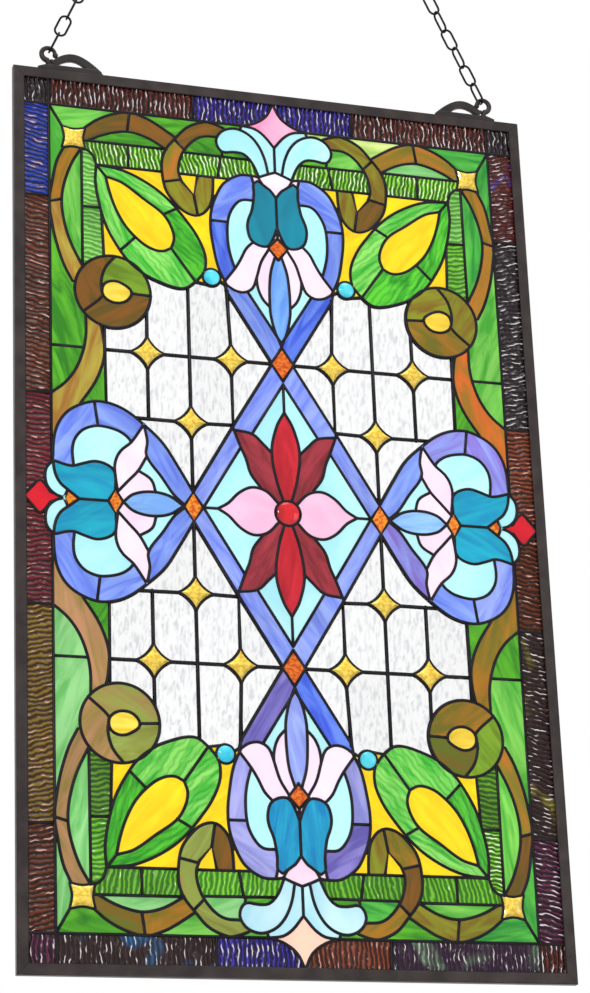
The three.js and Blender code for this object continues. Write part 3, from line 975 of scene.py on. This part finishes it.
def tube(lines, radius, name, sides=2, closed=False, radii=None):
    """Round wire along rows of points, as a bmesh in metres."""
    curve = bpy.data.curves.new(name, "CURVE")
    curve.dimensions = "3D"
    curve.bevel_depth = radius
    curve.bevel_resolution = sides
    curve.use_fill_caps = True
    for line in lines:
        spline = curve.splines.new("POLY")
        spline.points.add(len(line) - 1)
        for i, (point, spot) in enumerate(zip(spline.points, line)):
            point.co = (*spot, 1)
            if radii:
                point.radius = radii[i]
        spline.use_cyclic_u = closed
    holder = bpy.data.objects.new(name, curve)
    bpy.context.collection.objects.link(holder)
    bpy.context.view_layer.update()
    bm = bmesh.new()
    bm.from_mesh(holder.evaluated_get(bpy.context.evaluated_depsgraph_get()).to_mesh())
    bpy.data.objects.remove(holder)
    bpy.data.curves.remove(curve)
    bmesh.ops.remove_doubles(bm, verts=bm.verts, dist=1e-7)
    bmesh.ops.recalc_face_normals(bm, faces=bm.faces)
    return bm


def at(x, z, y=0.0):
    """A point of the panel, given in millimetres from its middle, in the frame's metres."""
    return Vector((x * MM, y * MM, PANEL_Z + z * MM))


class STAINED_GLASS_OT_solder(bpy.types.Operator):
    """Runs a rounded solder bead along every line of the design, with a blob where lines meet"""

    bl_idname = "stained_glass.solder"
    bl_label = "Solder Lines"

    def execute(self, context):
        sizes, finishes = context.scene.window_sizes, context.scene.window_finishes
        lines = [bead_path(line) for line in mirrored(quarter_design())]
        beads = tube([[at(p.x, p.y) for p in line] for line in lines], sizes.bead_width / 2, "solder")
        bmesh.ops.scale(beads, vec=(1, sizes.bead_depth / sizes.bead_width, 1), verts=beads.verts)
        joints = {(round(p.x), round(p.y)): p for line in lines for p in (line[0], line[-1])}
        width, depth = sizes.joint_width / 2, sizes.bead_depth * JOINT_DEPTH
        chance = random.Random(7)
        for p in joints.values():
            if abs(p.x) > GLASS_X - 1 or abs(p.y) > GLASS_Z - 1:
                continue  # hidden in a rail
            swell = chance.uniform(*JOINT_SWELL)
            scale = Matrix.Diagonal((width * swell, depth, width * swell, 1))
            place = Matrix.Translation(at(p.x, p.y)) @ scale
            bmesh.ops.create_icosphere(beads, subdivisions=1, radius=1, matrix=place)
        black = metal("Black patina solder", finishes.solder, 0.75, 0.38, 180, 0.35)
        add_piece("solder_lines", beads, "came_net", [black])
        return {"FINISHED"}


class STAINED_GLASS_OT_panes(bpy.types.Operator):
    """Cuts the sheet glass into panes along the design and gives each its colour and grain"""

    bl_idname = "stained_glass.panes"
    bl_label = "Glass Panes"

    def execute(self, context):
        sizes = context.scene.window_sizes
        sheet = cut_sheet(list(mirrored(quarter_design())))
        number = sheet.faces.layers.int["pane"]
        sheet.faces.ensure_lookup_table()
        tree = BVHTree.FromBMesh(sheet)
        chosen, owners = {}, {}
        for node, glass, grain, (x, z) in pane_plan():
            hit = tree.ray_cast(at(x, z, FRONT), Vector((0, 1, 0)))[2]
            if hit is None:
                raise RuntimeError(f"no pane at {x}, {z} for {node}")
            pane = sheet.faces[hit][number]
            if pane not in owners:
                owners[pane] = (node, glass, grain, (x, z))
                chosen.setdefault(node, set()).add(pane)
        materials = glass_materials()
        for node, wanted in chosen.items():
            kinds = {pane: GLASSES[owners[pane][1]][2] for pane in wanted}
            polished = "polished" in kinds.values()
            if polished:
                pane = min(wanted)
                radius = (RED_JEWEL if node == "red_jewel" else TURQUOISE)[2] * MM
                bm = lens(pane, at(*owners[pane][3]), radius, sizes.jewel_height / 2)
            else:
                bm = cut_panes(sheet, wanted, sizes.glass_thickness)
                for pane in sorted(wanted):
                    if kinds[pane] == "cast":
                        crown(bm, pane, sizes.crown_rise)
            colour_panes(bm, owners, list(materials))
            add_piece(f"{node}_panes", bm, node, materials.values(), smooth=polished)
        sheet.free()
        return {"FINISHED"}


def cut_panes(sheet, wanted, thickness):
    """The wanted panes of the sheet as closed plates, each parted from its neighbours."""
    bm = sheet.copy()
    pane_of = bm.faces.layers.int["pane"]
    bmesh.ops.delete(bm, geom=[f for f in bm.faces if f[pane_of] not in wanted], context="FACES")
    seams = [e for e in bm.edges if len({f[pane_of] for f in e.link_faces}) > 1]
    bmesh.ops.split_edges(bm, edges=seams)
    mark = bm.verts.layers.int.new("pane")
    for face in bm.faces:
        for vert in face.verts:
            vert[mark] = face[pane_of]
    bmesh.ops.solidify(bm, geom=bm.faces[:], thickness=thickness)
    bmesh.ops.recalc_face_normals(bm, faces=bm.faces)
    middle = sum(v.co.y for v in bm.verts) / len(bm.verts)
    bmesh.ops.translate(bm, verts=bm.verts, vec=(0, -middle, 0))
    return bm


def crown(bm, pane, rise):
    """Bevels a pane up to a raised, faceted table, towards the front and the back."""
    mark = bm.verts.layers.int["pane"]
    for way in (-1, 1):
        bm.normal_update()
        cap = [f for f in bm.faces if f.verts[0][mark] == pane and f.normal.y * way > 0.9]
        whole = bmesh.ops.dissolve_faces(bm, faces=cap)["region"][0]
        middle = Matrix.Translation(-whole.calc_center_bounds())
        table = bmesh.ops.extrude_discrete_faces(bm, faces=[whole])["faces"][0]
        bmesh.ops.scale(bm, verts=table.verts, vec=(CROWN_TABLE, 1, CROWN_TABLE), space=middle)
        bmesh.ops.translate(bm, verts=table.verts, vec=(0, way * rise, 0))
        peak = bmesh.ops.poke(bm, faces=[table], offset=rise / 2)
        for face in peak["faces"]:
            for vert in face.verts:
                vert[mark] = pane


def lens(pane, middle, radius, rise):
    """A polished jewel, domed towards the front and the back."""
    bm = bmesh.new()
    mark = bm.verts.layers.int.new("pane")
    shape = Matrix.Translation(middle) @ Matrix.Diagonal((radius, rise, radius, 1))
    upright = Matrix.Rotation(math.pi / 2, 4, "X")
    bmesh.ops.create_uvsphere(bm, u_segments=48, v_segments=24, radius=1, matrix=shape @ upright)
    for vert in bm.verts:
        vert[mark] = pane
    return bm


def colour_panes(bm, owners, kinds):
    """Writes each pane's two colours, its grain and its kind of glass on its mesh, with painted light and
    shade on a cast jewel's facets.
    """
    mark = bm.verts.layers.int["pane"]
    tone = bm.loops.layers.float_color.new("Tone")
    streak = bm.loops.layers.float_color.new("Streak")
    grain_map = bm.loops.layers.uv.new("Grain")
    bm.normal_update()
    looks = {}
    for pane, (_, glass, grain, _) in owners.items():
        chance = random.Random(pane)
        light = chance.uniform(*PANE_LIGHT)
        turn = Matrix.Rotation(math.radians(90 - grain), 2)
        shift = Vector((chance.uniform(0, 9), chance.uniform(0, 9)))
        looks[pane] = (*GLASSES[glass], light, turn, shift)
    for face in bm.faces:
        main, second, kind, light, turn, shift = looks[face.verts[0][mark]]
        face.material_index = kinds.index(kind)
        if kind == "cast":
            # painted light and shade: facets that face up and to the left are painted lightest, those
            # facing down and to the right darkest
            light *= 1.0 + FACET_PAINTED_SHADE * (face.normal.z - 0.6 * face.normal.x)
        for loop in face.loops:
            loop[tone] = (*(min(1, c * light) for c in main), 1)
            loop[streak] = (*(min(1, c * light) for c in second), 1)
            loop[grain_map].uv = turn @ Vector((loop.vert.co.x, loop.vert.co.z)) + shift


def gather(parts):
    """Several bmeshes as one."""
    whole = bmesh.new()
    for part in parts:
        mesh = mesh_of(part, "part")
        whole.from_mesh(mesh)
        bpy.data.meshes.remove(mesh)
    return whole


def softened(bm, edges, offset):
    """The bmesh with some of its edges rounded."""
    bmesh.ops.recalc_face_normals(bm, faces=bm.faces)
    bmesh.ops.bevel(
        bm, geom=edges, offset=offset * MM, segments=3, profile=0.5, affect="EDGES", material=-1,
        clamp_overlap=True,
    )
    return bm


def plate(outline, depth, soft):
    """A flat plate of the outline, with softened rims."""
    bm = bmesh.new()
    face = bm.faces.new([bm.verts.new(at(p.x, p.y)) for p in outline])
    bm.normal_update()
    bmesh.ops.solidify(bm, geom=[face], thickness=depth * MM)
    middle = sum(v.co.y for v in bm.verts) / len(bm.verts)
    bmesh.ops.translate(bm, verts=bm.verts, vec=(0, -middle, 0))
    rims = [e for e in bm.edges if abs(e.verts[0].co.y - e.verts[1].co.y) < 1e-6]
    return softened(bm, rims, soft)


def rail(along, across):
    """A grooved rail on the right or top side, for half lengths along and across it, mitred."""
    depth, face, groove, lips = RAIL_HALF_DEPTH, RAIL_FACE, RAIL_FACE - GROOVE, SEAT / 2
    profile = (
        (0, -depth), (face, -depth), (face, -lips), (groove, -lips),
        (groove, lips), (face, lips), (face, depth), (0, depth),
    )
    bm = bmesh.new()
    rings = []
    for end in (-1, 1):
        corners = [(end * (along - inset - MITRE_GAP), y, across - inset) for inset, y in profile]
        rings.append([bm.verts.new(Vector(corner) * MM) for corner in corners])
    for i in range(len(profile)):
        bm.faces.new((rings[0][i - 1], rings[0][i], rings[1][i], rings[1][i - 1]))
    bm.faces.new(rings[0])
    bm.faces.new(rings[1])
    long_edges = [bm.edges.get((rings[0][i], rings[1][i])) for i in (0, 1, 6, 7)]
    return softened(bm, long_edges, RAIL_SOFT)


class STAINED_GLASS_OT_frame(bpy.types.Operator):
    """Builds the four mitred, grooved frame rails"""

    bl_idname = "stained_glass.frame"
    bl_label = "Frame Rails"

    def execute(self, context):
        finishes = context.scene.window_finishes
        bronze = metal("Bronze patina frame", finishes.frame, 0.6, 0.4, 60, 0.2)
        for name, turn, along, across in (
            ("top", 0, HALF_WIDTH, HALF_HEIGHT), ("bottom", 180, HALF_WIDTH, HALF_HEIGHT),
            ("right", 90, HALF_HEIGHT, HALF_WIDTH), ("left", -90, HALF_HEIGHT, HALF_WIDTH),
        ):
            bm = rail(along, across)
            place = Matrix.Translation((0, 0, PANEL_Z)) @ Matrix.Rotation(math.radians(turn), 4, "Y")
            bmesh.ops.transform(bm, matrix=place, verts=bm.verts)
            add_piece(f"frame_rail_{name}", bm, f"rail_{name}", [bronze])
        return {"FINISHED"}


# The right hanger and chain, in the panel's millimetres. The left ones are mirrored.
FOOT_Z = HALF_HEIGHT + 0.3
FOOT = ((168, 0), (231, 0), (231, 2.2), (223, 5), (175, 5), (171, 3.4))  # above FOOT_Z
ARCH_OUTER = (
    (169, 430), (175, 435.2), (183, 441), (192, 445.2), (200, 445.8), (209, 442.8), (218.5, 436),
)
ARCH_INNER = ((214, 431.5), (206, 436.6), (198, 438.8), (190, 436.6), (184, 431.5))
FOOT_DEPTH = 6.0
STRAP_DEPTH = 5.2
CURL = (220.5, HALF_HEIGHT + 16.8, 6.6)
CURL_TURN = range(-80, 185, 11)  # degrees, from its root to its tip
CURL_WIRE = 2.2
CURL_TAPER = (1.25, 0.45)  # share of the wire at its root, and how much of that goes by its tip
CURL_BALL = 2.7
NIB = (217.5, 437)  # where the strap and the curl meet
NIB_BALL = 2.0
CHAIN_FOOT = (218, HALF_HEIGHT + 23.1)
CHAIN_LEAN = math.radians(24.5)
LINKS = 7
LINK_SIZE = (24.5, 13.0)
LINK_PITCH = 20.8
FIRST_LINK = 7.65  # along the chain, as is the hook
HOOK_ALONG = 147.3
HOOK_RADIUS = 6.0
HOOK_WIRE = 2.8
HOOK_LOWER = range(170, 451, 14)  # degrees around the lower bow, then back around the upper one
HOOK_UPPER = range(256, -11, -14)


def hanger():
    """The right hanger: a foot on the rail, an arched strap and a curl for the chain."""
    foot = straight(*((x, FOOT_Z + z) for x, z in FOOT))
    strap = curved(*ARCH_OUTER) + curved(*ARCH_INNER)
    x, z, radius = CURL
    root, taper = CURL_TAPER
    path = [(x - 1, FOOT_Z + 3.5)]
    path += [(x + radius * math.cos(t), z + radius * math.sin(t)) for t in map(math.radians, CURL_TURN)]
    widths = [root - taper * i / (len(path) - 1) for i in range(len(path))]
    curl = tube([[at(*p) for p in path]], CURL_WIRE * MM, "curl", sides=4, radii=widths)
    for spot, radius, segments in ((path[-1], CURL_BALL, 20), (NIB, NIB_BALL, 16)):
        ball = Matrix.Translation(at(*spot)) @ Matrix.Scale(radius * MM, 4)
        rows = segments // 2 + 2
        bmesh.ops.create_uvsphere(curl, u_segments=segments, v_segments=rows, radius=1, matrix=ball)
    return gather([plate(foot, FOOT_DEPTH, soft=0.8), plate(strap, STRAP_DEPTH, soft=0.9), curl])


def bow(angles, radius, centre):
    """Part of a circle in the chain's own plane."""
    return [Vector((radius * math.cos(t), 0, centre + radius * math.sin(t))) for t in angles]


def chain(wire):
    """The right chain: oval links turned a quarter each, leaning in to an S hook."""
    lean = Matrix.Rotation(-CHAIN_LEAN, 4, "Y")
    foot = at(*CHAIN_FOOT)
    bend = LINK_SIZE[1] / 2 - wire / 2 / MM
    upper = bow([math.pi * step / 12 for step in range(13)], bend, (LINK_SIZE[0] - LINK_SIZE[1]) / 2)
    loop = upper + [-p for p in upper]
    parts = []
    for i in range(LINKS):
        turn = Matrix.Rotation(math.pi / 2 * (1 - i % 2), 4, "Z")
        place = lean @ Matrix.Translation((0, 0, FIRST_LINK + i * LINK_PITCH)) @ turn
        link = [foot + place @ p * MM for p in loop]
        parts.append(tube([link], wire / 2, "link", sides=4, closed=True))
    hook = bow(map(math.radians, HOOK_LOWER), HOOK_RADIUS, 0)
    hook += bow(map(math.radians, HOOK_UPPER), HOOK_RADIUS, 2 * HOOK_RADIUS)
    place = lean @ Matrix.Translation((0, 0, HOOK_ALONG))
    parts.append(tube([[foot + place @ p * MM for p in hook]], HOOK_WIRE / 2 * MM, "hook", sides=4))
    return gather(parts)


class STAINED_GLASS_OT_hardware(bpy.types.Operator):
    """Builds the two hangers and the two chains with their hooks"""

    bl_idname = "stained_glass.hardware"
    bl_label = "Hangers and Chains"

    def execute(self, context):
        sizes, finishes = context.scene.window_sizes, context.scene.window_finishes
        bronze = metal("Bronze patina hanger", finishes.hanger, 0.6, 0.4, 60, 0.2)
        steel = metal("Black steel wire", finishes.chain, 0.7, 0.35, 90, 0.1)
        for side, way in (("left", -1), ("right", 1)):
            for kind, bm, material in (("hanger", hanger(), bronze), ("chain", chain(sizes.wire), steel)):
                node = f"{kind}_{side}"
                bmesh.ops.scale(bm, vec=(way, 1, 1), verts=bm.verts)
                bmesh.ops.recalc_face_normals(bm, faces=bm.faces)
                add_piece(f"{node}_metal", bm, node, [material])
        return {"FINISHED"}


# ---- stage --------------------------------------------------------------------------------

FLOOR_DROP = 0.55  # the floor's distance below the panel
FLOOR_SIZE = 6
# Each lamp by its name, its place from the panel's middle, its width in metres and its power.
LAMPS = (
    ("key", (-1.6, -2.4, 1.2), 0.45, 24),
    ("fill", (2.2, -1.8, 0.2), 1.4, 10),
    ("top", (0.2, -0.6, 2.0), 1.0, 10),
)
CAMERA_OFFSET = Vector((-0.767138, -2.287621, -0.833160))  # from the panel's middle
CAMERA_TURN = (109.4171, 2.1284, -17.9653)  # in degrees
CAMERA_LENS = 101.09


class STAINED_GLASS_OT_stage(bpy.types.Operator):
    """Sets a plain pale floor, soft studio light and the camera"""

    bl_idname = "stained_glass.stage"
    bl_label = "Stage"

    def execute(self, context):
        scene = context.scene
        floor = bmesh.new()
        low = Matrix.Translation((0, 0, CAD_BOX[0][2] - FLOOR_DROP))
        bmesh.ops.create_grid(floor, x_segments=1, y_segments=1, size=FLOOR_SIZE, matrix=low)
        ground = bpy.data.objects.new("floor", mesh_of(floor, "floor"))
        scene.collection.objects.link(ground)
        shader = Shader("Pale floor")
        ground.data.materials.append(shader.finish(srgb(242, 242, 242), roughness=0.8))
        world = bpy.data.worlds.new("Studio")
        scene.world = world
        world.use_nodes = True
        sky = world.node_tree.nodes["Background"]
        sky.inputs["Color"].default_value = (1, 1, 1, 1)
        sky.inputs["Strength"].default_value = 1.0
        scene.view_settings.view_transform = "Standard"
        middle = Vector((0, 0, PANEL_Z))
        for name, place, width, power in LAMPS:
            light = bpy.data.lights.new(name, "AREA")
            light.energy = power
            light.size = width
            lamp = bpy.data.objects.new(name, light)
            lamp.location = middle + Vector(place)
            lamp.rotation_euler = (middle - lamp.location).to_track_quat("-Z", "Y").to_euler()
            scene.collection.objects.link(lamp)
        view = bpy.data.cameras.new("camera")
        view.lens = CAMERA_LENS
        view.sensor_width = 36
        camera = bpy.data.objects.new("camera", view)
        camera.location = middle + CAMERA_OFFSET
        camera.rotation_euler = [math.radians(angle) for angle in CAMERA_TURN]
        scene.collection.objects.link(camera)
        scene.camera = camera
        return {"FINISHED"}


# ---- add-on -------------------------------------------------------------------------------


class STAINED_GLASS_PT_panel(bpy.types.Panel):
    """Lists the window's operators and settings"""

    bl_label = "Stained Glass"
    bl_space_type = "VIEW_3D"
    bl_region_type = "UI"
    bl_category = "Stained Glass"

    def draw(self, context):
        for settings in (context.scene.window_sizes, context.scene.window_finishes):
            for key in settings.bl_rna.properties.keys():
                if key not in ("rna_type", "name"):
                    self.layout.prop(settings, key)
        for operator in OPERATORS:
            self.layout.operator(operator.bl_idname)


OPERATORS = (
    STAINED_GLASS_OT_panes,
    STAINED_GLASS_OT_solder,
    STAINED_GLASS_OT_frame,
    STAINED_GLASS_OT_hardware,
    STAINED_GLASS_OT_stage,
)
CLASSES = (WindowSizes, WindowFinishes, *OPERATORS, STAINED_GLASS_PT_panel)


def register():
    for cls in CLASSES:
        bpy.utils.register_class(cls)
    bpy.types.Scene.window_sizes = bpy.props.PointerProperty(type=WindowSizes)
    bpy.types.Scene.window_finishes = bpy.props.PointerProperty(type=WindowFinishes)


def unregister():
    del bpy.types.Scene.window_finishes
    del bpy.types.Scene.window_sizes
    for cls in reversed(CLASSES):
        bpy.utils.unregister_class(cls)


def main():
    register()
    bpy.ops.stained_glass.panes()
    bpy.ops.stained_glass.solder()
    bpy.ops.stained_glass.frame()
    bpy.ops.stained_glass.hardware()
    bpy.ops.stained_glass.stage()
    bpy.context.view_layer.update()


if __name__ == "__main__":
    main()
